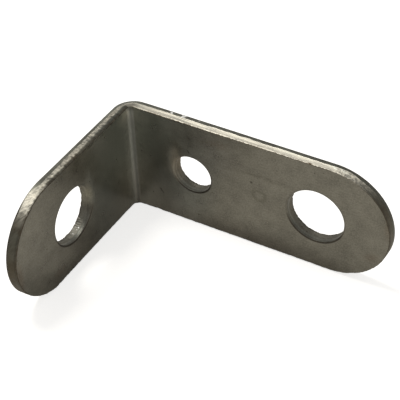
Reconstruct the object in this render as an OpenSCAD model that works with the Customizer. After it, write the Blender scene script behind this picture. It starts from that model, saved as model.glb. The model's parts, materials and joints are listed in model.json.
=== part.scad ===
// Angle bracket: one strip of sheet steel with round ends and three punched holes, folded into two legs.
// It stands on one cut edge, with the bend upright, the long leg along X and the short leg towards -Y.

/* [Strip] */
// Width of the strip
strip_w = 16; // [12:0.5:26]
// Thickness of the strip
strip_t = 1.5; // [1:0.1:2.5]

/* [Bend] */
// Angle between the legs
leg_angle = 90; // [60:1:150]
// Inside radius of the bend, left by the folding blade's nose
bend_r = 0.7; // [0.4:0.05:3]
// Extra radius of the bend's back, beyond the inside radius and the thickness, as the fold thins the corner
bend_draw = 0.55; // [0.1:0.05:1]

/* [Legs] */
// Long leg, from the back of the corner to its tip
long_leg = 38; // [34:0.5:80]
// Short leg, from the back of the corner to its tip
short_leg = 27.3; // [24:0.1:60]

/* [Holes] */
// Diameter of the large hole near each round end
end_hole_d = 7.8; // [4:0.1:10]
// Distance from the long leg's tip to the centre of its large hole
long_hole_in = 10; // [7:0.1:14]
// Distance from the short leg's tip to the centre of its large hole
short_hole_in = 12; // [7:0.1:16]
// Diameter of the small hole near the bend
small_hole_d = 5.4; // [3:0.1:6.4]
// Distance from the back of the corner to the centre of the small hole
small_hole_at = 10.5; // [7.5:0.1:14]

/* [Cut edges] */
// Radius of the rolled rim of a cut edge
roll_r = 0.12; // [0.05:0.01:0.4]
// Depth of the smooth part of a cut edge, with its rolled rim
shear_h = 0.6; // [0.45:0.05:0.9]
// Distance that the torn part of a cut edge leans back
tear_lean = 0.03; // [0.02:0.01:0.12]

/* [Hidden] */
$fn = 96;
// Length by which a cutter passes the faces
past = 1;
half_w = strip_w / 2;
// Angle that the strip is folded through
fold = 180 - leg_angle;
// Radius of the layer that the bend's back is swept from
sweep_r = bend_r + bend_draw;
// Distances along a leg from the inside corner: to the end of the inside radius, to the end of the bend,
// and back to the outside corner
crease_in = bend_r * tan(fold / 2);
bend_in = sweep_r * tan(fold / 2);
back_in = strip_t * tan(fold / 2);
// Each leg from the inside corner to its tip
long_in = long_leg - back_in;
short_in = short_leg - back_in;
// The short leg's tip seen from above, at its inner face and at its back
tip_inner = short_in * [cos(leg_angle), -sin(leg_angle)];
tip_back = tip_inner - strip_t * [sin(leg_angle), cos(leg_angle)];
// Leftmost and lowest points of the folded strip seen from above
bend_left = leg_angle > 90 ? 0 : bend_in - sweep_r - strip_t;
left = min(tip_inner[0], tip_back[0], bend_left);
low = min(tip_inner[1], tip_back[1]);

// Half of the strip's cross-section, from the centre line out to one cut edge.
// x runs across the strip and y through it, from the inner face to the back.
// The die rolled the rim at the back, and the torn part leans in towards the inner face.
module half_section() {
    difference() {
        polygon([
            [0, 0],
            [half_w - tear_lean, 0],
            [half_w, strip_t - shear_h],
            [half_w, strip_t],
            [0, strip_t]
        ]);
        translate([half_w - roll_r, strip_t - roll_r])
            difference() {
                square(roll_r + past);
                circle(roll_r);
            }
    }
}

// The whole cross-section, about the centre line
module section() {
    half_section();
    mirror([1, 0])
        half_section();
}

// Profile of a punched hole of radius r, for turning about the hole's axis.
// The punch entered at the inner face: a rolled rim, a smooth wall, then a torn wall that widens to the back.
module hole_profile(r) {
    difference() {
        polygon([
            [0, -past],
            [r + roll_r, -past],
            [r + roll_r, roll_r],
            [r, roll_r],
            [r, shear_h],
            [r + tear_lean, strip_t],
            [r + tear_lean, strip_t + past],
            [0, strip_t + past]
        ]);
        translate([r + roll_r, roll_r])
            circle(roll_r);
    }
}

// Punch for one hole of diameter d, entering at the inner face
module punch(d) {
    rotate([-90, 0, 0])
        rotate_extrude()
            hole_profile(d / 2);
}

// Straight strip of a given length, with its inner face at y = 0 and its back at y = strip_t
module straight(length) {
    rotate([0, 90, 0])
        linear_extrude(length)
            section();
}

// Half-round end of the strip, with the same cut edge turned about the end's centre
module round_end() {
    rotate([-90, 0, 0])
        rotate([0, 0, -90])
            rotate_extrude(angle = 180)
                half_section();
}

// One flat leg, from the end of the bend to its tip, at a distance reach from the inside corner.
// Each hole is a pair: its diameter and its distance from the inside corner.
module leg(reach, holes) {
    difference() {
        union() {
            translate([bend_in, 0, 0])
                straight(reach - half_w - bend_in);
            translate([reach - half_w, 0, 0])
                round_end();
        }
        for (hole = holes)
            translate([hole[1], 0, 0])
                punch(hole[0]);
    }
}

// Air inside the corner, seen from above, with the blade's small radius at its apex
module crease_plan() {
    translate([crease_in, -bend_r])
        circle(bend_r);
    polygon([
        [crease_in, 0],
        [bend_in, 0],
        [bend_in, -sweep_r],
        bend_in * [cos(leg_angle), -sin(leg_angle)],
        crease_in * [cos(leg_angle), -sin(leg_angle)]
    ]);
}

// The bend: the strip's section turned about the bend's axis, with the blade's crease pressed into it
module bend() {
    difference() {
        translate([bend_in, -sweep_r, 0])
            rotate([0, 0, 90])
                rotate_extrude(angle = fold)
                    translate([sweep_r, 0])
                        rotate(-90)
                            section();
        translate([0, 0, -half_w - past])
            linear_extrude(strip_w + 2 * past)
                crease_plan();
    }
}

module bracket() {
    color([0.55, 0.54, 0.49])
        translate([-(long_in + left) / 2, -(strip_t + low) / 2, half_w]) {
            leg(long_in, [
                [small_hole_d, small_hole_at - back_in],
                [end_hole_d, long_in - long_hole_in]
            ]);
            bend();
            mirror([sin(leg_angle / 2), cos(leg_angle / 2), 0])
                leg(short_in, [
                    [end_hole_d, short_in - short_hole_in]
                ]);
        }
}

bracket();
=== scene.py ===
import json

import bmesh
import bpy
import numpy as np
from mathutils import Matrix, Vector


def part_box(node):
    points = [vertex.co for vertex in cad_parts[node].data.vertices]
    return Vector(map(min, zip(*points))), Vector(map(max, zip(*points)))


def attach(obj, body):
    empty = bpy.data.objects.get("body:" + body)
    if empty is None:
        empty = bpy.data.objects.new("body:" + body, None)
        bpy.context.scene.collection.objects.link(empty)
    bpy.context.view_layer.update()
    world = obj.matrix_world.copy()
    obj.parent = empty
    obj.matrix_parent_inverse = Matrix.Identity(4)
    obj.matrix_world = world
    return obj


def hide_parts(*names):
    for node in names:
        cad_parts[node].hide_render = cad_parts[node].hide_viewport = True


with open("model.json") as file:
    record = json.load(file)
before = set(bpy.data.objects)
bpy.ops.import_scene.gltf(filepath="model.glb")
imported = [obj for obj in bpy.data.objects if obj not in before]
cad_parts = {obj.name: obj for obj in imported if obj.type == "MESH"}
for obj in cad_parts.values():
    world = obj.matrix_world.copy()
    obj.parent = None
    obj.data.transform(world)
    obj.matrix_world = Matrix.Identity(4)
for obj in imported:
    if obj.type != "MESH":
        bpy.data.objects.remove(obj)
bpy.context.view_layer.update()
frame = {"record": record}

# The bracket: one strip of dull stainless sheet, slit to width, blanked with two round ends, punched from
# its inner face and folded once. It is a single piece, so the whole skin is worked out on the flat strip,
# as along, across and depth from the inner face in millimetres, and then folded.
MM = 0.001
mounts = {mount["name"]: mount for mount in frame["record"]["mounts"]}
low, high = (np.array(corner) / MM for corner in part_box("bracket"))
corner_x = mounts["short_inner"]["pos_m"][0] / MM    # the inside corner, seen from above
corner_y = mounts["long_inner"]["pos_m"][1] / MM
sheet_t = mounts["long_back"]["pos_m"][1] / MM - corner_y
half_w = (high[2] - low[2]) / 2
mid_z = (high[2] + low[2]) / 2
crease_r = 0.75                                      # inside radius, left by the folding blade's nose
back_r = 2.75                                        # outside radius, larger than crease_r + sheet_t
bend_end = back_r - sheet_t                          # where the back's arc ends, from the inside corner
bend_half = np.pi / 4 * (back_r - 0.55 * sheet_t)    # half of the bend's length on the flat strip


def flat_along(distance):
    """Place on the flat strip of a point at a distance from the inside corner, on the long leg."""
    return distance - bend_end + bend_half


long_tip = flat_along(high[0] - corner_x)
short_tip = -flat_along(corner_y - low[1])
long_hole = flat_along(mounts["long_end_hole"]["pos_m"][0] / MM - corner_x)
small_hole = flat_along(mounts["small_hole"]["pos_m"][0] / MM - corner_x)
short_hole = -flat_along(corner_y - mounts["short_end_hole"]["pos_m"][1] / MM)
large_r = mounts["long_end_hole"]["dims"]["r_mm"]
small_r = mounts["small_hole"]["dims"]["r_mm"]


def fold(sheet):
    """Folds flat-strip points. Each layer turns on its own arc, of radius crease_r at the inner face and
    back_r at the back, so the sheet thins in the corner; the turn from the bisector is along / bend_half x
    45 degrees. Past the bend the layers catch up with the back's by 1 - exp(-(distance / settle)^2)."""
    settle = 1.6
    along, across, depth = np.moveaxis(sheet, -1, 0)
    turn = np.clip(along / bend_half, -1, 1)
    angle = np.radians(135 - 45 * turn)
    radius = crease_r + (back_r - crease_r) * depth / sheet_t
    centre = radius - depth
    past = along - turn * bend_half
    run = np.abs(past) + (bend_end - centre) * (1 - np.exp(-(past / settle) ** 2))
    x = corner_x + centre + radius * np.cos(angle) + np.where(past > 0, run, 0)
    y = corner_y - centre + radius * np.sin(angle) - np.where(past < 0, run, 0)
    return np.stack([x, y, mid_z + across], -1)


def ripple(points, size, seed, waves=48):
    """Smooth random height with a spread of one: the sum of cosine waves of random phase, whose wave number
    along each axis is drawn from a normal spread of pi / size."""
    rng = np.random.default_rng(seed)
    number = rng.normal(size=(points.shape[-1], waves)) * (np.pi / size)
    phase = rng.uniform(0, 2 * np.pi, waves)
    return np.cos(points @ number + phase).sum(-1) * np.sqrt(2 / waves)


def worked(sheet):
    """Flat-strip points as the fold and the press leave them. Near the bend's two ends the squeezed inner
    side swells past the strip's edge, by swell x exp(-(along / (1.15 bend_half))^2) x |across / half_w|^9
    x (1 - 1.5 depth / thickness), and its face draws back in the same way; the crease's sides are eased by
    fillet x exp(-(along / 1.7)^2); everywhere the sheet waves by a few microns."""
    along, across, depth = np.moveaxis(sheet, -1, 0)
    swell, draw_back, fillet, wave = 0.13, 0.10, 0.12, 0.006
    bent = np.exp(-(along / (1.15 * bend_half)) ** 2) * np.abs(across / half_w) ** 9
    squeeze = 1 - 1.5 * depth / sheet_t
    eased = draw_back * bent - fillet * np.exp(-(along / 1.7) ** 2)
    waves = wave * ripple(np.stack([along, across], -1), 7.0, 11)
    return np.stack([
        along,
        across + np.sign(across) * swell * bent * squeeze,
        depth + eased * (1 - depth / sheet_t) + waves,
    ], -1)


ROLL_ROWS, SHEAR_ROWS, TEAR_ROWS = 8, 4, 12          # points down each part of a cut edge
OUTLINE_ROLL, HOLE_ROLL = 0.34, 0.26                 # width of the rim that the die or the punch rolled
burr_w = 0.28                                        # width of the burr's foot on the far face


def cut_edge(path, inward, roll_w, roll_d, shear_h, break_w, streaks, burr_h, lean, seed, dragged=0.0):
    """Grid (path, profile) of a cut edge: inset into the metal along `inward`, and depth from the rolled
    face. The profile is a quarter ellipse roll_w x roll_d, part way to a parabola where the rim is dragged
    in; a smooth wall down to a wandering line near shear_h; a torn wall, which leans by `lean` and falls
    back by a parabola of width break_w at the far face; and a ragged burr. `streaks` is the strength of the
    grooves down the tear, beside the waves along it."""
    column = np.ones((len(path), 1))
    roll_w, roll_d, shear_h, break_w, streaks, burr_h, dragged = (
        value * column if np.isscalar(value) else value[:, None]
        for value in (roll_w, roll_d, shear_h, break_w, streaks, burr_h, dragged))
    wander = (0.035 * ripple(path, 1.6, seed) + 0.012 * ripple(path, 0.35, seed + 1))[:, None]
    shear = np.maximum(shear_h + wander, roll_d + 0.06)
    burr = np.clip(burr_h * (1 + 0.7 * ripple(path, 0.55, seed + 2)[:, None]), 0.004, None)
    ragged = (0.012 * ripple(path, 0.3, seed + 3)
              + 0.04 * np.clip(ripple(path, 0.8, seed + 4) - 1.2, 0, None))[:, None]
    # rolled rim
    a = np.linspace(0, np.pi / 2, ROLL_ROWS)
    roll_in, roll_deep = roll_w * (1 - np.sin(a)), roll_d * (1 - np.cos(a))
    roll_deep = roll_deep + 0.4 * dragged * (roll_d * np.sin(a) ** 2 - roll_deep)
    # sheared wall
    s = np.linspace(1 / SHEAR_ROWS, 1, SHEAR_ROWS)
    shear_deep = roll_d + (shear - roll_d) * s
    shear_in = 0.002 * ripple(path, 0.12, seed + 5)[:, None] * np.sin(np.pi * s)
    # torn wall, set back by a small step
    t = np.linspace(0.02, 1, TEAR_ROWS)
    tear_deep = shear + (sheet_t + burr - shear) * t
    along = np.repeat(path[:, None, :], TEAR_ROWS, 1)
    waves = ripple(np.concatenate([0.12 * along, tear_deep[..., None]], -1), 0.35, seed + 6)
    grooves = ripple(np.concatenate([along, 0.15 * tear_deep[..., None]], -1), 0.20, seed + 7)
    rough = 0.006 * waves + 0.011 * streaks * grooves
    rounded = break_w * np.clip((tear_deep - sheet_t + break_w) / break_w, 0, 1) ** 2
    tear_in = (0.008 + lean * t + rough * np.sin(np.pi * np.clip(t, 0, 0.75))
               + 0.55 * rounded + ragged * t ** 3)
    # burr, falling back to the far face
    tip = tear_in[:, -1:]
    burr_in = np.concatenate([tip + 0.04, np.maximum(tip + 0.08, 0.75 * burr_w), burr_w * column], -1)
    burr_in = np.minimum(burr_in, burr_w)
    burr_deep = np.concatenate([sheet_t + 0.5 * burr, sheet_t + 0.08 * burr, sheet_t * column], -1)
    inset = np.concatenate([roll_in, shear_in, tear_in, burr_in], -1)
    depth = np.concatenate([roll_deep, shear_deep, tear_deep, burr_deep], -1)
    flat = path[:, None, :] + inset[..., None] * inward[:, None, :]
    # the sheared look starts on the steep end of the rolled rim
    rows = np.arange(inset.shape[1])
    tear_start = ROLL_ROWS + SHEAR_ROWS
    sheared = ((rows >= ROLL_ROWS - 2) & (rows < tear_start)) * column
    torn = ((rows >= tear_start) & (rows < tear_start + TEAR_ROWS)) * column
    return flat, depth, sheared, torn


# The flat outline is laid out once, so that the faces and the cut edges share its points. The strip is cut
# across into stretches: one round each hole, and a plain one between them, with finer steps in the bend.
edge_step, bend_step = 0.16, 0.10
end_long, end_short = long_tip - half_w, short_tip + half_w      # centres of the round ends
bend_stop = bend_half + 0.25
# one cut beyond the short leg's hole, one on each side of the bend, and one on each side of the small hole
cuts = [short_hole + 8.6, -bend_stop, bend_stop, small_hole - 4.9, small_hole + 7.2]
stops = [end_short, *cuts, end_long]
steps = [bend_step if stop == -bend_stop else edge_step for stop in stops[:-1]]
runs = [
    np.linspace(start, stop, max(2, round((stop - start) / step)), endpoint=False)
    for start, stop, step in zip(stops, stops[1:], steps)
]
edge_along = np.concatenate([*runs, [end_long]])
cut_at = np.cumsum([len(run) for run in runs])[:-1]              # index of each cut in edge_along
arc = np.linspace(-np.pi / 2, np.pi / 2, round(np.pi * half_w / edge_step) + 1)[1:-1]
across_count = 76                                                # quads across the strip


def stadium():
    """Points of the strip's outline and its outward directions: the lower edge, the long leg's half circle,
    the upper edge and the short leg's half circle, in one loop."""
    n = len(edge_along)
    lower = np.stack([edge_along, np.full(n, -half_w)], -1)
    upper = np.stack([edge_along[::-1], np.full(n, half_w)], -1)
    out_arc = np.stack([np.cos(arc), np.sin(arc)], -1)
    path = np.concatenate([
        lower, [end_long, 0] + half_w * out_arc, upper, [end_short, 0] - half_w * out_arc])
    out = np.concatenate([
        np.tile([0.0, -1.0], (n, 1)), out_arc, np.tile([0.0, 1.0], (n, 1)), -out_arc])
    return path, out


outline, outward = stadium()


def border(first, last, inset):
    """Closed loop round one stretch of a face, between two cuts of the strip (None is the strip's end): the
    outline moved in by inset, closed by straight lines across the strip."""
    moved = outline - inset * outward
    n, m = len(edge_along), len(arc)
    lower, long_arc = moved[:n], moved[n:n + m]
    upper, short_arc = moved[n + m:2 * n + m][::-1], moved[2 * n + m:]
    across = np.linspace(-(half_w - inset), half_w - inset, across_count + 1)[1:-1]
    i = 0 if first is None else cut_at[first]
    j = n - 1 if last is None else cut_at[last]
    right = long_arc if last is None else np.stack([np.full_like(across, edge_along[j]), across], -1)
    left = short_arc if first is None else np.stack([np.full_like(across, edge_along[i]), across[::-1]], -1)
    return np.concatenate([lower[i:j + 1], right, upper[i:j + 1][::-1], left])


def ring(loop, bearing, centre, radius, rows):
    """Grid between a hole's circle and the loop round it: each column runs from the circle, centre + radius x
    bearing, to the loop's point, as (1 - v) x circle + v x loop."""
    circle = [centre, 0] + radius * bearing
    v = np.linspace(0, 1, rows + 1)[None, :, None]
    return circle[:, None] * (1 - v) + loop[:, None] * v


def dish(bearing, toward, width):
    """Share of the dragged-in rim at each bearing round a hole: exp(-(angle from `toward` / width)^2)."""
    angle = np.degrees(np.arctan2(bearing[:, 1], bearing[:, 0]))
    away = (angle - toward + 180) % 360 - 180
    return np.exp(-(away / width) ** 2)


def rise(value, start, stop):
    """0 before start, 1 past stop, and t x t x (3 - 2 t) between."""
    t = np.clip((value - start) / (stop - start), 0, 1)
    return t * t * (3 - 2 * t)


def fresh_share(flat, depth):
    """How bright the torn skin is, by smooth steps, as new metal with painted light and shade on it: the long
    leg's slit edge is newly cut and brighter towards its back, the short leg's is rubbed and darkened near
    its inner face as painted shade, its round end gets a painted highlight where it has turned 9 to 20
    degrees, and both round ends fade as they turn down, as painted shade."""
    along, across = np.moveaxis(flat, -1, 0)
    on_long = along > -0.5
    past = np.where(on_long, along - end_long, end_short - along)
    turn = np.degrees(np.arctan2(np.maximum(past, 0), np.abs(across)))
    fade = 1 - np.where(on_long, rise(turn, 2, 52), rise(turn, 24, 52))
    long_tone = (0.62 + 0.38 * rise(along, 0, 14)) * (0.72 + 0.28 * rise(depth, 0.3, 0.7))
    near_bend = 1 - rise(-along, 1, 14)
    ragged = 0.045 * ripple(flat, 0.45, 61)
    short_tone = 0.33 - 0.08 * rise(turn, 0, 7) + 0.18 * rise(turn, 9, 20)
    rubbed_and_shaded_depth = np.where(turn > 0, 0.10, 0.37 + 0.22 * near_bend)
    short_tone = short_tone * rise(depth + ragged, rubbed_and_shaded_depth - 0.09, rubbed_and_shaded_depth + 0.13)
    return fade * np.where(on_long, long_tone, short_tone)


# what the material reads at each point: sheared wall, torn wall, how bright the tear is as new metal with
# painted light and shade, how far its grain runs down it, and the wall of a hole
SHARES = ("sheared", "torn", "fresh", "grain", "bored")
sheets, quads, shares = [], [], []


def add_grid(flat, depth, closed, flip, **marked):
    """Adds a grid of flat-strip points as quads: column i joins column i + 1, and the last joins the first
    where the grid is closed. `marked` gives the grid's shares by name, and the others are 0."""
    u, v = flat.shape[:2]
    depth = np.broadcast_to(depth, (u, v))
    base = sum(len(sheet) for sheet in sheets)
    sheets.append(np.concatenate([flat, depth[..., None]], -1).reshape(-1, 3))
    grids = [np.broadcast_to(marked.get(name, 0.0), (u, v)) for name in SHARES]
    shares.append(np.stack(grids, -1).reshape(-1, len(SHARES)))
    index = base + np.arange(u * v).reshape(u, v)
    if closed:
        index = np.concatenate([index, index[:1]])
    corners = [index[:-1, :-1], index[1:, :-1], index[1:, 1:], index[:-1, 1:]]
    quads.append(np.stack(corners[::-1] if flip else corners, -1).reshape(-1, 4))


# each hole: the cuts on its two sides, centre, radius, rows round it, and the bearing and share of the rim
# that the punch dragged in
holes = [
    (None, 0, short_hole, large_r, 12, 0, 1.0),
    (3, 4, small_hole, small_r, 10, 150, 0.4),
    (4, None, long_hole, large_r, 12, 180, 0.0),
]
for number, (first, last, centre, radius, rows, toward, drag) in enumerate(holes):
    # the rolled rim is on the inner face, wider and deeper where it was dragged in, and the burr on the back
    loop = border(first, last, burr_w)
    bearing = loop - [centre, 0]
    bearing /= np.linalg.norm(bearing, axis=1, keepdims=True)
    dragged = drag * dish(bearing, toward, 46)
    roll_w, roll_d = HOLE_ROLL + 0.45 * dragged, 0.08 + 0.62 * dragged
    add_grid(ring(loop, bearing, centre, (radius + roll_w)[:, None], rows), 0.0, True, False)
    loop = border(first, last, OUTLINE_ROLL)
    add_grid(ring(loop, bearing, centre, radius + burr_w, rows), sheet_t, True, True)
    flat, depth, sheared, torn = cut_edge(
        [centre, 0] + radius * bearing, bearing, roll_w, roll_d, shear_h=0.62, break_w=0.02, streaks=0.8,
        burr_h=0.035, lean=-0.05, seed=100 + 20 * number, dragged=dragged)
    sheared *= 1 - np.minimum(1, 1.2 * dragged[:, None])
    torn *= 1 - 0.9 * dragged[:, None]
    # a hole's wall is marked more strongly on its lower side
    bored = (np.arange(flat.shape[1]) > 0) * (0.5 + 0.5 * np.clip(-bearing[:, 1:], 0, 1))
    add_grid(flat, depth, True, True, sheared=sheared, torn=torn, fresh=0.045, grain=0.8, bored=bored)

# from the short leg's hole to the small one, through the bend, the two faces are plain grids
along = edge_along[cut_at[0]:cut_at[3] + 1]
for inset, depth, flip in ((burr_w, 0.0, False), (OUTLINE_ROLL, sheet_t, True)):
    across = np.linspace(-(half_w - inset), half_w - inset, across_count + 1)
    add_grid(np.stack(np.meshgrid(along, across, indexing="ij"), -1), depth, False, flip)

# The outline was sheared from the back. The sheared part is narrower on the short leg, where it widens away
# from the bend and narrows again round the end; the tear's grain runs down it there and on the long leg's
# round end.
on_short = 1 / (1 + np.exp((outline[:, 0] + 0.6) / 0.5))
turned = np.clip((np.abs(outline[:, 0]) - np.where(outline[:, 0] > 0, end_long, -end_short) + 1) / 2, 0, 1)
grain = np.maximum(0.15, np.maximum(on_short, turned))
from_bend = np.clip(-outline[:, 0], 0, -end_short)
past_end = np.clip(end_short - outline[:, 0], 0, None)
long_shear = 0.60 - 0.05 * turned
short_shear = (0.35 + 0.010 * from_bend + 0.08 * np.clip((from_bend - 13) / 4, 0, 1)
               - 0.40 * np.clip((past_end - 0.4) / 1.8, 0, 1))
flat, depth, sheared, torn = cut_edge(
    outline, -outward, OUTLINE_ROLL, 0.07, long_shear * (1 - on_short) + on_short * short_shear,
    break_w=0.10 + 0.18 * on_short * (1 - turned), streaks=grain, burr_h=0.010 + 0.012 * turned, lean=0.03,
    seed=40)
depth = sheet_t - depth
add_grid(flat, depth, True, False,
         sheared=sheared, torn=torn, fresh=fresh_share(flat, depth), grain=grain[:, None])

sheet = worked(np.concatenate(sheets))
points = fold(sheet) * MM
mesh = bpy.data.meshes.new("bracket_skin")
mesh.from_pydata(points, [], np.concatenate(quads))
for name, values in zip(SHARES, np.concatenate(shares).T):
    mesh.attributes.new(name, "FLOAT", "POINT").data.foreach_set("value", values.astype(np.float32))
flat_place = mesh.attributes.new("flat", "FLOAT_VECTOR", "POINT")
flat_place.data.foreach_set("vector", sheet.astype(np.float32).ravel())
seam = bmesh.new()
seam.from_mesh(mesh)
bmesh.ops.remove_doubles(seam, verts=seam.verts, dist=0.0005 * MM)
bmesh.ops.recalc_face_normals(seam, faces=seam.faces)
seam.to_mesh(mesh)
seam.free()
mesh.shade_smooth()
bracket = bpy.data.objects.new("bracket_body", mesh)
bpy.context.scene.collection.objects.link(bracket)


def node(tree, kind, **settings):
    """A new shader node with its settings made by name."""
    new = tree.nodes.new("ShaderNode" + kind)
    for name, value in settings.items():
        setattr(new, name, value)
    return new


def feed(tree, socket, value):
    """Links another node's output to a socket, or sets its own value; a colour is red, green and blue."""
    if isinstance(value, bpy.types.NodeSocket):
        tree.links.new(value, socket)
    elif socket.type == "RGBA":
        socket.default_value = (*value, 1)
    else:
        socket.default_value = value


def math(tree, operation, *values):
    """Output of a math node."""
    new = node(tree, "Math", operation=operation)
    for socket, value in zip(new.inputs, values):
        feed(tree, socket, value)
    return new.outputs[0]


def times(tree, first, second):
    """Product of two values."""
    return math(tree, "MULTIPLY", first, second)


def scaled(tree, value, factor, base):
    """base + value x factor."""
    return math(tree, "MULTIPLY_ADD", value, factor, base)


def step(tree, value, start, stop):
    """0 before start, 1 past stop, with a smooth step between; start may be the larger."""
    new = node(tree, "MapRange", interpolation_type="SMOOTHSTEP")
    feed(tree, new.inputs["Value"], value)
    feed(tree, new.inputs["From Min"], start)
    feed(tree, new.inputs["From Max"], stop)
    return new.outputs["Result"]


def stretch(tree, place, factors):
    """A place multiplied by a factor for each axis."""
    new = node(tree, "VectorMath", operation="MULTIPLY")
    feed(tree, new.inputs[0], place)
    feed(tree, new.inputs[1], factors)
    return new.outputs[0]


def noise(tree, place, scale, detail=2.0):
    """Noise about zero, roughly within a half either way. `scale` is one number, or one for each axis."""
    new = node(tree, "TexNoise")
    if isinstance(scale, tuple):
        place, scale = stretch(tree, place, scale), 1.0
    feed(tree, new.inputs["Vector"], place)
    feed(tree, new.inputs["Scale"], scale)
    feed(tree, new.inputs["Detail"], detail)
    return math(tree, "SUBTRACT", new.outputs["Fac"], 0.5)


def mix(tree, share, first, second):
    """Colour between two colours: the second where share is 1."""
    new = node(tree, "Mix", data_type="RGBA")
    for socket, value in zip((new.inputs[0], new.inputs[6], new.inputs[7]), (share, first, second)):
        feed(tree, socket, value)
    return new.outputs[2]


def new_group(name, inputs, outputs):
    """An empty node group with its named sockets, and its two end nodes."""
    group = bpy.data.node_groups.new(name, "ShaderNodeTree")
    for label, kind in inputs:
        group.interface.new_socket(label, in_out="INPUT", socket_type="NodeSocket" + kind)
    for label in outputs:
        group.interface.new_socket(label, in_out="OUTPUT", socket_type="NodeSocketFloat")
    return group, group.nodes.new("NodeGroupInput"), group.nodes.new("NodeGroupOutput")


# Mill skin: clouds, blotches, fine grain, faint rolling lines and sparse dark specks, by place in millimetres
mill_skin, skin_in, skin_out = new_group(
    "mill_skin", [("Place", "Vector")], ["Tone", "Speck", "Haze", "Height"])
place = skin_in.outputs["Place"]
clouds = noise(mill_skin, place, 0.16)
blotches = noise(mill_skin, place, 0.60, 4.0)
fine = noise(mill_skin, place, 4.5, 3.0)
lines = noise(mill_skin, place, (0.25, 5.0, 1.0))
tone = scaled(mill_skin, clouds, 0.26, 1.0)
tone = scaled(mill_skin, blotches, 0.40, tone)
tone = scaled(mill_skin, fine, 0.56, tone)
tone = scaled(mill_skin, lines, 0.12, tone)
cells = node(mill_skin, "TexVoronoi")
feed(mill_skin, cells.inputs["Vector"], place)
feed(mill_skin, cells.inputs["Scale"], 0.9)
cell_colour = node(mill_skin, "SeparateColor")
feed(mill_skin, cell_colour.inputs["Color"], cells.outputs["Color"])
chance = cell_colour.outputs["Red"]
speck_r = times(mill_skin, step(mill_skin, chance, 0.62, 1.0), 0.13)
speck = step(mill_skin, cells.outputs["Distance"], speck_r, times(mill_skin, speck_r, 0.35))
speck = times(mill_skin, speck, step(mill_skin, chance, 0.60, 0.66))
height = scaled(mill_skin, fine, 0.0030, times(mill_skin, lines, 0.0008))
height = scaled(mill_skin, speck, -0.0012, height)
for label, value in (("Tone", tone), ("Speck", speck), ("Haze", blotches), ("Height", height)):
    feed(mill_skin, skin_out.inputs[label], value)

# Soft patch: 1 inside a turned oval, falling to 0 across its edge
soft_patch, patch_in, patch_out = new_group(
    "soft_patch",
    [("Place", "Vector"), ("Centre", "Vector"), ("Half Size", "Vector"),
     ("Turn", "Float"), ("Edge", "Float")],
    ["Mask"])
offset = node(soft_patch, "VectorMath", operation="SUBTRACT")
feed(soft_patch, offset.inputs[0], patch_in.outputs["Place"])
feed(soft_patch, offset.inputs[1], patch_in.outputs["Centre"])
turned_place = node(soft_patch, "VectorRotate", rotation_type="Z_AXIS")
feed(soft_patch, turned_place.inputs["Vector"], offset.outputs[0])
feed(soft_patch, turned_place.inputs["Angle"], times(soft_patch, patch_in.outputs["Turn"], -1.0))
relative = node(soft_patch, "VectorMath", operation="DIVIDE")
feed(soft_patch, relative.inputs[0], turned_place.outputs[0])
feed(soft_patch, relative.inputs[1], patch_in.outputs["Half Size"])
reach = node(soft_patch, "VectorMath", operation="LENGTH")
feed(soft_patch, reach.inputs[0], relative.outputs[0])
outer = math(soft_patch, "ADD", 1.0, patch_in.outputs["Edge"])
inner = math(soft_patch, "SUBTRACT", 1.0, patch_in.outputs["Edge"])
feed(soft_patch, patch_out.inputs["Mask"], step(soft_patch, reach.outputs["Value"], outer, inner))

# Mill-finish steel, as it comes from the press, with the marks of its handling
steel = bpy.data.materials.new("mill_finish_steel")
steel.use_nodes = True
tree = steel.node_tree
shader = tree.nodes["Principled BSDF"]
place = node(tree, "Attribute", attribute_name="flat").outputs["Vector"]
sheared, torn, fresh, grain, bored = (
    node(tree, "Attribute", attribute_name=name).outputs["Fac"] for name in SHARES)
split = node(tree, "SeparateXYZ")
feed(tree, split.inputs[0], place)
deep = split.outputs["Z"]
skin = node(tree, "Group")
skin.node_tree = mill_skin
feed(tree, skin.inputs["Place"], place)

# the marks' outlines waver by a fraction of a millimetre
waver_w = np.array([0.7, 0.7, 0.0])
waver = node(tree, "TexNoise")
feed(tree, waver.inputs["Vector"], place)
feed(tree, waver.inputs["Scale"], 1.3)
feed(tree, waver.inputs["Detail"], 3.0)
wavered = node(tree, "VectorMath", operation="MULTIPLY_ADD")
feed(tree, wavered.inputs[0], waver.outputs["Color"])
feed(tree, wavered.inputs[1], tuple(waver_w))
feed(tree, wavered.inputs[2], place)


def patch(distance, height, half_length, half_width, turn=0.0, edge=0.5, depth=0.0, half_depth=0.6):
    """Mask of a soft oval in the skin, in millimetres: its distance from the inside corner (the short leg's
    is negative), its height above the lower edge and its depth from the inner face, half its size along,
    across and through the sheet, its turn in degrees, and the share of its size over which it falls off."""
    along = flat_along(distance) if distance > 0 else -flat_along(-distance)
    new = node(tree, "Group")
    new.node_tree = soft_patch
    feed(tree, new.inputs["Place"], wavered.outputs[0])
    feed(tree, new.inputs["Centre"], tuple(np.array([along, height - half_w, depth]) + 0.5 * waver_w))
    feed(tree, new.inputs["Half Size"], (half_length, half_width, half_depth))
    feed(tree, new.inputs["Turn"], np.radians(turn))
    feed(tree, new.inputs["Edge"], edge)
    return new.outputs["Mask"]


def lay(colour, mask, share, tint):
    """A colour with a tint laid over it, as strong as mask x share."""
    return mix(tree, times(tree, mask, share), colour, tint)
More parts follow.
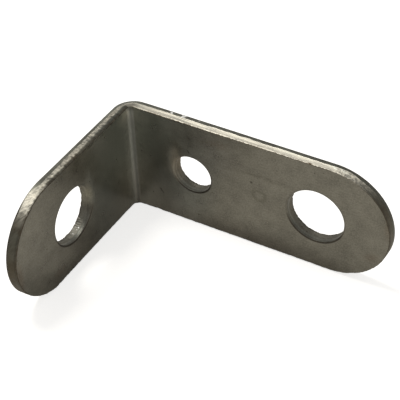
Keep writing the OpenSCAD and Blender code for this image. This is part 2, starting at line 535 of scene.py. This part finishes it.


# the face: warm grey steel, painted lighter and cooler towards the corner in place of the shade and tint of
# its double reflections there, and darker on the walls of the holes
face = mix(tree, patch(0.1, 8.0, 9.8, 14.0, edge=0.4), (0.272, 0.259, 0.214), (0.283, 0.295, 0.262))
face = lay(face, bored, 0.70, (0.130, 0.122, 0.100))
# noise that breaks up the painted highlights on the crease's shoulders
highlight_waver = step(tree, noise(tree, place, (1.9, 1.2, 1.0), 3.0), -0.30, 0.12)
drawn = times(tree, patch(19.4, 11.3, 3.0, 0.34, 2, edge=0.9),
              step(tree, noise(tree, place, (0.8, 2.2, 1.0), 3.0), -0.16, 0.12))
ring_stain = times(tree, patch(18.70, 8.28, 1.08, 0.92, edge=0.3),
                   math(tree, "SUBTRACT", 1.0, patch(18.70, 8.28, 0.68, 0.54, edge=0.5)))
marks = [
    # mask, share, tint; first painted shade: darker low on the long leg and on the lower half of the short
    # one
    (patch(17, -0.4, 13.0, 2.2, edge=0.9), 0.60, (0.14, 0.122, 0.10)),
    (patch(-15.5, 2.0, 6.0, 3.6, 15, edge=0.8), 0.15, (0.16, 0.135, 0.115)),
    # painted light at the foot of the corner
    (patch(0.5, 1.0, 6.0, 5.5, edge=0.9), 0.85, (0.47, 0.44, 0.38)),
    # pale clouds over the small hole and on the short leg's round end, and a dull one before the large hole
    (patch(10.5, 12.8, 3.6, 3.4, edge=0.8), 0.55, (0.345, 0.33, 0.29)),
    (patch(-23.0, 6.5, 5.0, 7.0, edge=0.7), 0.70, (0.33, 0.315, 0.265)),
    (patch(22.4, 7.2, 1.5, 1.6, edge=0.9), 0.35, (0.19, 0.18, 0.145)),
    # painted highlights on the dragged-in rims of the small hole and of the short leg's hole, with grime
    # under the second
    (patch(6.4, 8.7, 0.7, 1.4, edge=0.8, depth=0.6, half_depth=2.4), 0.42, (0.40, 0.35, 0.27)),
    (patch(5.85, 8.9, 1.0, 2.0, edge=0.9), 0.60, (0.40, 0.36, 0.28)),
    (patch(-10.25, 8.7, 0.75, 1.4, edge=0.7, depth=0.6, half_depth=2.0), 0.38, (0.49, 0.46, 0.36)),
    (patch(-10.0, 8.9, 0.55, 1.4, edge=0.7, depth=0.38, half_depth=0.30), 0.36, (0.60, 0.57, 0.45)),
    (patch(-10.2, 6.4, 0.65, 0.65, edge=0.9, depth=0.2, half_depth=0.8), 0.55, (0.10, 0.085, 0.065)),
    # painted highlights on the crease's two shoulders, broken up by noise, and painted light on the face
    # beside it on the long leg
    (times(tree, patch(-0.89, 9.0, 0.85, 12.0, edge=0.8), highlight_waver), 0.84, (0.52, 0.52, 0.46)),
    (times(tree, patch(1.7, 9.0, 0.9, 12.0, edge=0.9), highlight_waver), 0.64, (0.50, 0.50, 0.44)),
    (patch(2.3, 3.0, 1.6, 4.2, edge=0.9), 0.55, (0.56, 0.55, 0.48)),
    (patch(6.0, 11.5, 5.0, 6.0, edge=0.9), 0.60, (0.335, 0.335, 0.295)),
    # painted shade on the crease's core, and painted highlights at its ends
    (patch(0.28, 8.0, 0.52, 14.0, edge=0.7), 0.66, (0.20, 0.20, 0.178)),
    (patch(1.7, 14.8, 1.2, 0.9, edge=0.9), 0.40, (0.50, 0.49, 0.43)),
    (patch(-1.4, 15.0, 1.1, 1.0, edge=0.9), 0.60, (0.60, 0.58, 0.50)),
    (patch(-1.5, 2.2, 1.3, 2.6, edge=0.9), 0.62, (0.50, 0.49, 0.43)),
    (patch(-0.95, 15.35, 0.75, 0.55, edge=0.8), 0.70, (0.72, 0.70, 0.60)),
    # painted light on the short leg's upper rim, and painted shade at the top of the crease
    (patch(-4.8, 16.04, 4.4, 0.32, edge=0.6), 0.85, (0.50, 0.50, 0.44)),
    (patch(0.15, 15.85, 1.3, 0.40, edge=0.6), 0.75, (0.17, 0.165, 0.14)),
    # pit, two short scratches and a drawn streak
    (patch(17.57, 10.11, 0.20, 0.16, edge=0.6), 0.75, (0.05, 0.045, 0.03)),
    (patch(8.52, 11.57, 0.34, 0.10, -35, edge=0.6), 0.65, (0.05, 0.05, 0.04)),
    (patch(4.2, 3.6, 0.45, 0.12, -50, edge=0.6), 0.5, (0.06, 0.055, 0.045)),
    (drawn, 0.50, (0.13, 0.12, 0.09)),
    # tints of rust
    (patch(12.5, 14.2, 1.6, 0.5, 4, edge=0.9), 0.18, (0.22, 0.15, 0.10)),
    (patch(34.19, 4.43, 0.9, 0.5, 30, edge=0.9), 0.25, (0.22, 0.155, 0.10)),
    (patch(36.2, 9.76, 0.5, 1.2, edge=0.9), 0.22, (0.24, 0.16, 0.10)),
    (patch(-17.94, 1.71, 1.0, 0.6, edge=0.9), 0.30, (0.20, 0.14, 0.10)),
    (patch(-25.3, 6.5, 0.5, 2.2, edge=0.9), 0.35, (0.26, 0.18, 0.12)),
    # ring left by a drop, and the mill's dark specks
    (ring_stain, 0.38, (0.10, 0.098, 0.062)),
    (skin.outputs["Speck"], 0.55, (0.07, 0.05, 0.035)),
]
for mask, share, tint in marks:
    face = lay(face, mask, share, tint)

# sheared walls: burnished dark, paler at the bend and in the holes, darker on the short leg's round end and
# low in its hole, and with painted glints on scuffs on the long leg's upper edge
upper_edge = 2 * half_w
in_hole = step(tree, bored, 0.0, 0.5)
low_side = step(tree, bored, 0.5, 1.0)
wall = mix(tree, patch(-1.5, upper_edge, 3.6, 1.5, edge=0.6, depth=1.2, half_depth=0.9),
           (0.152, 0.148, 0.120), (0.225, 0.222, 0.185))
wall = mix(tree, in_hole, wall, mix(tree, low_side, (0.235, 0.228, 0.188), (0.212, 0.206, 0.170)))
wall = mix(tree, patch(-23.5, 6.5, 5.0, 8.5, edge=0.5, depth=1.2, half_depth=0.9),
           wall, (0.085, 0.075, 0.058))
wall = mix(tree, patch(-12.7, 4.3, 1.3, 1.1, edge=0.6, depth=0.45, half_depth=0.55),
           wall, (0.085, 0.085, 0.072))
# painted glints: near-white spots on the scuffs
scuff_glint = times(tree, patch(7.3, upper_edge, 2.3, 1.0, edge=0.3, depth=1.12, half_depth=0.30),
              step(tree, noise(tree, place, (1.9, 1.9, 1.9), 3.0), 0.055, 0.085))
wall = mix(tree, scuff_glint, wall, (0.95, 0.93, 0.86))

# the torn walls' grooves run down the tear on the worked edges, where they lean, and along the slit one
deep_thrice = node(tree, "CombineXYZ")
for socket in deep_thrice.inputs:
    feed(tree, socket, deep)
leaned = node(tree, "VectorMath", operation="MULTIPLY_ADD")
feed(tree, leaned.inputs[0], deep_thrice.outputs[0])
feed(tree, leaned.inputs[1], (0.9, 0.9, 0.0))
feed(tree, leaned.inputs[2], place)
leaned_place = leaned.outputs[0]
down = scaled(tree, noise(tree, leaned_place, (7.0, 7.0, 2.2)), 0.6,
              noise(tree, leaned_place, (2.4, 2.4, 0.9), 5.0))
along_edge = scaled(tree, noise(tree, place, (3.0, 3.0, 7.0)), 0.5,
                    noise(tree, place, (0.35, 0.35, 4.5), 4.0))
groove = scaled(tree, grain, math(tree, "SUBTRACT", down, along_edge), along_edge)

# dull tears: brown grey, greased beside the corner, paler in the holes and on the long leg's round end
dull = mix(tree, step(tree, noise(tree, place, 0.35, 3.0), -0.08, 0.15),
           (0.158, 0.150, 0.116), (0.132, 0.113, 0.080))
dull = mix(tree, in_hole, dull, mix(tree, low_side, (0.200, 0.188, 0.150), (0.168, 0.158, 0.126)))
dull = mix(tree, patch(-3.5, upper_edge, 5.0, 1.5, edge=0.6, depth=0.39, half_depth=0.25),
           dull, (0.100, 0.099, 0.081))
dull = mix(tree, patch(36.2, 6.0, 1.6, 5.5, edge=0.8, depth=0.8, half_depth=1.2), dull, (0.200, 0.184, 0.142))
# the torn skin's brightness share carries painted highlights and painted shade by how the edge turns
tear = mix(tree, fresh, dull, (0.94, 0.885, 0.745))
# dimmed at the top of the crease, and low in the short leg's hole, where a few grains glint
tear = lay(tear, patch(0.3, upper_edge, 0.9, 1.0, edge=0.7, depth=0.35, half_depth=0.5),
           0.6, (0.24, 0.22, 0.18))
tear = lay(tear, patch(-12.4, 4.2, 1.6, 1.2, edge=0.6, depth=1.1, half_depth=0.5),
           0.5, (0.105, 0.103, 0.088))
glint = times(tree, patch(-12.3, 4.4, 1.0, 0.7, edge=0.4, depth=1.10, half_depth=0.35),
              step(tree, noise(tree, place, 3.2), 0.11, 0.14))
tear = mix(tree, glint, tear, (0.98, 0.98, 0.94))
# dark flecks, a notch, and a brown fringe where the tear meets the inner face, apart from the greased stretch
fleck = step(tree, noise(tree, place, (2.0, 2.0, 4.0), 4.0), -0.13, -0.22)
fringe = step(tree, scaled(tree, noise(tree, place, 3.0, 3.0), 0.36, deep), 0.11, 0.02)
fringe = times(tree, fringe, scaled(tree, grain, -0.48, 0.88))
ungreased = math(tree, "SUBTRACT", 1.0, patch(-3.5, upper_edge, 5.0, 1.5, edge=0.6, half_depth=0.5))
fringe = times(tree, fringe, ungreased)
notch = patch(25.58, 16.0, 0.26, 0.5, edge=0.6, depth=0.06, half_depth=0.14)
dark = math(tree, "MAXIMUM", math(tree, "MAXIMUM", fringe, notch), times(tree, fleck, 0.7))
tear = mix(tree, dark, tear, (0.100, 0.070, 0.042))

# the whole skin: face, sheared walls and torn walls, then dark lines where a rim meets a wall (not where the
# tear is bright), where a hole's tear meets the back and where its rim starts, and painted highlights on the
# sides of two holes
near_rim = times(tree, step(tree, deep, 0.06, 0.16), step(tree, deep, 0.42, 0.28))
near_rim = times(tree, near_rim, math(tree, "MAXIMUM", sheared, torn))
near_rim = times(tree, near_rim, step(tree, fresh, 0.5, 0.2))
back_line = times(tree, step(tree, bored, 0.0, 0.3), step(tree, deep, 1.22, 1.42))
rim_line = times(tree, step(tree, bored, 0.55, 0.80), step(tree, deep, 0.085, 0.050))
small_side = patch(6.75, 9.3, 0.9, 2.6, edge=0.7, depth=0.5, half_depth=1.8)
short_side = patch(-9.85, 9.6, 0.55, 2.0, edge=0.7, depth=0.62, half_depth=0.30)
short_rim = patch(-10.40, 10.3, 0.45, 1.0, edge=0.8, depth=0.20, half_depth=0.24)
colour = mix(tree, sheared, face, wall)
colour = mix(tree, torn, colour, tear)
colour = lay(colour, near_rim, 0.32, (0.050, 0.042, 0.032))
colour = lay(colour, back_line, 0.42, (0.060, 0.052, 0.040))
colour = lay(colour, rim_line, 0.72, (0.050, 0.042, 0.032))
# painted highlights on the sides and rim of the small hole and the short leg's hole
colour = lay(colour, small_side, 0.62, (0.43, 0.375, 0.285))
colour = lay(colour, short_side, 0.24, (0.62, 0.58, 0.46))
colour = lay(colour, short_rim, 0.55, (0.42, 0.40, 0.33))

# light and dark over the colour: the mill's grain, calmer in the bend and drawn out along it, and on the
# tears streaks with the groove, smeared on the short leg's upper edge
grain_depth = scaled(tree, patch(-1, 9.0, 8.0, 14.0, edge=0.5), -1.28, 1.55)
skin_tone = scaled(tree, math(tree, "SUBTRACT", skin.outputs["Tone"], 1.0), grain_depth, 1.0)
bend_lines = times(tree, patch(-0.5, 8.0, 6.0, 30.0, edge=0.6), noise(tree, place, (1.1, 0.07, 1.0), 3.0))
skin_tone = scaled(tree, bend_lines, 0.22, skin_tone)
streak = math(tree, "SUBTRACT", step(tree, groove, -0.13, 0.13), 0.5)
streak_depth = scaled(tree, times(tree, grain, step(tree, fresh, 0.05, 0.30)), 0.45, 0.22)
smears = scaled(tree, noise(tree, place, (4.2, 4.2, 0.6), 1.0), 0.8, noise(tree, place, (1.1, 1.1, 0.3)))
smears = times(tree, patch(-9.0, upper_edge, 10.0, 2.0, edge=0.3, depth=0.9, half_depth=2.0), smears)
tear_tone = scaled(tree, smears, 1.25, scaled(tree, streak, streak_depth, 0.97))
tone = scaled(tree, torn, math(tree, "SUBTRACT", tear_tone, skin_tone), skin_tone)
toned = node(tree, "VectorMath", operation="SCALE")
feed(tree, toned.inputs[0], colour)
feed(tree, toned.inputs["Scale"], tone)
feed(tree, shader.inputs["Base Color"], toned.outputs[0])

# duller in the haze, the specks, the sheared walls, the crease, the two dragged-in rims and the torn walls
rough = scaled(tree, skin.outputs["Haze"], 0.22, 0.31)
rough = scaled(tree, skin.outputs["Speck"], 0.20, rough)
rough = scaled(tree, sheared, 0.12, rough)
rough = scaled(tree, patch(-0.2, 8.0, 1.6, 20.0, edge=0.6), 0.26, rough)
rough = scaled(tree, patch(-10.2, 9.6, 1.1, 2.6, edge=0.5, depth=0.4, half_depth=1.0), 0.30, rough)
rough = scaled(tree, patch(6.3, 8.9, 0.9, 2.4, edge=0.5, depth=0.3, half_depth=1.2), 0.28, rough)
rough = scaled(tree, torn, scaled(tree, groove, 0.30, 0.24), rough)
feed(tree, shader.inputs["Roughness"], rough)
feed(tree, shader.inputs["Metallic"], 1.0)
bump = node(tree, "Bump")
feed(tree, bump.inputs["Strength"], 1.0)
feed(tree, bump.inputs["Distance"], MM)
feed(tree, bump.inputs["Height"], scaled(tree, torn, times(tree, groove, 0.030), skin.outputs["Height"]))
feed(tree, shader.inputs["Normal"], bump.outputs["Normal"])
mesh.materials.append(steel)

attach(bracket, "root")
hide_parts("bracket")

# The floor: a sheet of white paper that the bracket stands on, wide enough to fill the view. It looks plain
# white to the camera, and its faint warm tint lights the steel from below.
paper = bpy.data.materials.new("white_paper")
paper.use_nodes = True
tree = paper.node_tree
shader = tree.nodes["Principled BSDF"]
feed(tree, shader.inputs["Base Color"], (0.70, 0.67, 0.62))
feed(tree, shader.inputs["Roughness"], 0.9)
feed(tree, shader.inputs["Specular IOR Level"], 0.0)
feed(tree, shader.inputs["Emission Color"], (1, 1, 1))
camera_ray = node(tree, "LightPath").outputs["Is Camera Ray"]
feed(tree, shader.inputs["Emission Strength"], times(tree, camera_ray, 0.71))
paper_half = 3
paper_z = float(points[:, 2].min()) - 0.005 * MM
paper_corners = [(x * paper_half, y * paper_half, paper_z) for x, y in ((-1, -1), (1, -1), (1, 1), (-1, 1))]
paper_mesh = bpy.data.meshes.new("paper")
paper_mesh.from_pydata(paper_corners, [], [(0, 1, 2, 3)])
paper_mesh.materials.append(paper)
floor = bpy.data.objects.new("floor", paper_mesh)
bpy.context.scene.collection.objects.link(floor)

# The light: an even pale room, white where the camera sees it, and one soft square lamp high on the left,
# which faces the bracket.
world = bpy.data.worlds.new("room")
bpy.context.scene.world = world
world.use_nodes = True
tree = world.node_tree
room = tree.nodes["Background"]
room_light = 0.38
feed(tree, room.inputs["Color"], (1, 1, 1))
camera_ray = node(tree, "LightPath").outputs["Is Camera Ray"]
feed(tree, room.inputs["Strength"], scaled(tree, camera_ray, 1 - room_light, room_light))
lamp = bpy.data.lights.new("soft_lamp", "AREA")
lamp.shape = "RECTANGLE"
lamp.size, lamp.size_y = 0.14, 0.14
lamp.energy = 0.75
lamp_object = bpy.data.objects.new("soft_lamp", lamp)
lamp_object.location = (-0.16, 0.03, 0.36)
lamp_object.rotation_euler = (-lamp_object.location).to_track_quat("-Z", "Y").to_euler()
bpy.context.scene.collection.objects.link(lamp_object)

# The camera: a long lens above the front right, looking into the inside corner and turned a little on its
# own axis.
camera_data = bpy.data.cameras.new("camera")
camera_data.lens = 119.93
camera_data.clip_start, camera_data.clip_end = 0.01, 20
camera = bpy.data.objects.new("camera", camera_data)
eye = Vector((62.08, -99.99, 115.89)) * MM
aim = Vector((-4.33, 7.01, 9.29)) * MM
roll = Matrix.Rotation(np.radians(-2.64), 4, "Z")
facing = (aim - eye).to_track_quat("-Z", "Y").to_matrix().to_4x4()
camera.matrix_world = Matrix.Translation(eye) @ facing @ roll
bpy.context.scene.collection.objects.link(camera)
bpy.context.scene.camera = camera
bpy.context.scene.view_settings.view_transform = "Standard"
